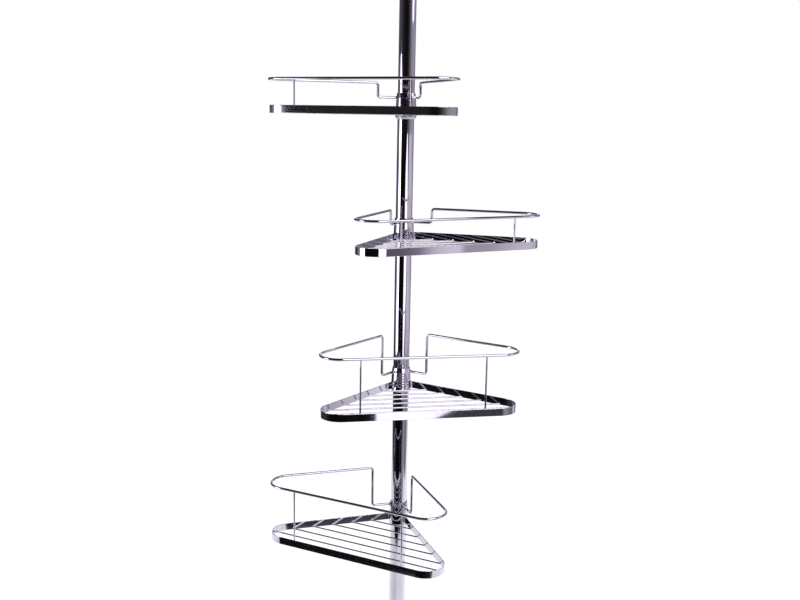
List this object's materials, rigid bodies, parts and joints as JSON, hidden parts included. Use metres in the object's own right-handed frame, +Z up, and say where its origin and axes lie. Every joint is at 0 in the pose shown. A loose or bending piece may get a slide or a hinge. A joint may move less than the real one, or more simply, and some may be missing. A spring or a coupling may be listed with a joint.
{
  "type": "tension pole shelf unit",
  "caption": "Telescopic floor-to-ceiling pole with triangular wire corner baskets that slide and turn on split wedge collars, a lock nut and a sprung ceiling foot.",
  "frame": {"origin": "centre of the foot pad's underside, on the pole's axis", "axes": "+Z up along the pole, -Y the way the baskets face, +X to the viewer's right"},
  "size_m": [0.3885, 0.2322, 2.149],
  "materials": {
    "polished_tube": "mirror-polished chrome plate on steel tube",
    "bright_strip": "bright chrome plate on flat steel strip",
    "bright_wire": "bright chrome plate on steel wire, welded joints",
    "wedge_plastic": "smooth moulded light grey plastic",
    "fitting_plastic": "satin moulded light grey plastic",
    "inner_plastic": "plain moulded natural plastic",
    "pad_rubber": "soft matte black rubber",
    "spring_steel": "oiled spring steel wire"
  },
  "bodies": {
    "pole": {"foot_pad": "pad_rubber", "foot_plug": "inner_plastic", "lower_tube": "polished_tube", "lower_joiner": "inner_plastic", "middle_tube": "polished_tube", "upper_joiner": "inner_plastic", "upper_tube": "polished_tube", "lock_collet": "fitting_plastic"},
    "lock_nut": {"lock_nut": "fitting_plastic"},
    "extension": {"extension_tube": "polished_tube", "guide_bush": "inner_plastic", "spring_stop": "inner_plastic", "end_bush": "inner_plastic", "tension_spring": "spring_steel"},
    "plunger": {"plunger_piston": "inner_plastic", "plunger_tube": "polished_tube", "ceiling_cup": "fitting_plastic", "ceiling_pad": "pad_rubber"},
    "top_wedges": {"top_wedge_left": "wedge_plastic", "top_wedge_right": "wedge_plastic"},
    "top_basket": {"top_collar": "polished_tube", "top_rim_strip": "bright_strip", "top_grill_wires": "bright_wire", "top_guard_rail": "bright_wire", "top_rail_posts": "bright_wire"},
    "second_wedges": {"second_wedge_left": "wedge_plastic", "second_wedge_right": "wedge_plastic"},
    "second_basket": {"second_collar": "polished_tube", "second_rim_strip": "bright_strip", "second_grill_wires": "bright_wire", "second_guard_rail": "bright_wire", "second_rail_posts": "bright_wire"},
    "third_wedges": {"third_wedge_left": "wedge_plastic", "third_wedge_right": "wedge_plastic"},
    "third_basket": {"third_collar": "polished_tube", "third_rim_strip": "bright_strip", "third_grill_wires": "bright_wire", "third_guard_rail": "bright_wire", "third_rail_posts": "bright_wire"},
    "bottom_wedges": {"bottom_wedge_left": "wedge_plastic", "bottom_wedge_right": "wedge_plastic"},
    "bottom_basket": {"bottom_collar": "polished_tube", "bottom_rim_strip": "bright_strip", "bottom_grill_wires": "bright_wire", "bottom_guard_rail": "bright_wire", "bottom_rail_posts": "bright_wire"}
  },
  "joints": [
    {"name": "lock_nut_turn", "type": "hinge", "parent": "pole", "child": "lock_nut", "pos_m": [0, 0, 1.78], "axis": [0, 0, 1], "range_deg": [0, 270]},
    {"name": "extension_slide", "type": "slide", "parent": "pole", "child": "extension", "axis": [0, 0, 1], "range_m": [-0.25, 0.12]},
    {"name": "plunger_slide", "type": "slide", "parent": "extension", "child": "plunger", "axis": [0, 0, 1], "range_m": [-0.03, 0], "stiffness_N_per_m": 2000, "springref_m": 0.02, "deforming": ["tension_spring"]},
    {"name": "top_basket_slide", "type": "slide", "parent": "pole", "child": "top_wedges", "axis": [0, 0, 1], "range_m": [-0.13, 0.35]},
    {"name": "top_basket_turn", "type": "hinge", "parent": "top_wedges", "child": "top_basket", "pos_m": [0, 0, 1.3715], "axis": [0, 0, 1], "continuous": true},
    {"name": "second_basket_slide", "type": "slide", "parent": "pole", "child": "second_wedges", "axis": [0, 0, 1], "range_m": [-0.13, 0.13]},
    {"name": "second_basket_turn", "type": "hinge", "parent": "second_wedges", "child": "second_basket", "pos_m": [0, 0, 1.1878], "axis": [0, 0, 1], "continuous": true},
    {"name": "third_basket_slide", "type": "slide", "parent": "pole", "child": "third_wedges", "axis": [0, 0, 1], "range_m": [-0.12, 0.13]},
    {"name": "third_basket_turn", "type": "hinge", "parent": "third_wedges", "child": "third_basket", "pos_m": [0, 0, 0.9562], "axis": [0, 0, 1], "continuous": true},
    {"name": "bottom_basket_slide", "type": "slide", "parent": "pole", "child": "bottom_wedges", "axis": [0, 0, 1], "range_m": [-0.69, 0.12]},
    {"name": "bottom_basket_turn", "type": "hinge", "parent": "bottom_wedges", "child": "bottom_basket", "pos_m": [0, 0, 0.737], "axis": [0, 0, 1], "continuous": true}
  ]
}
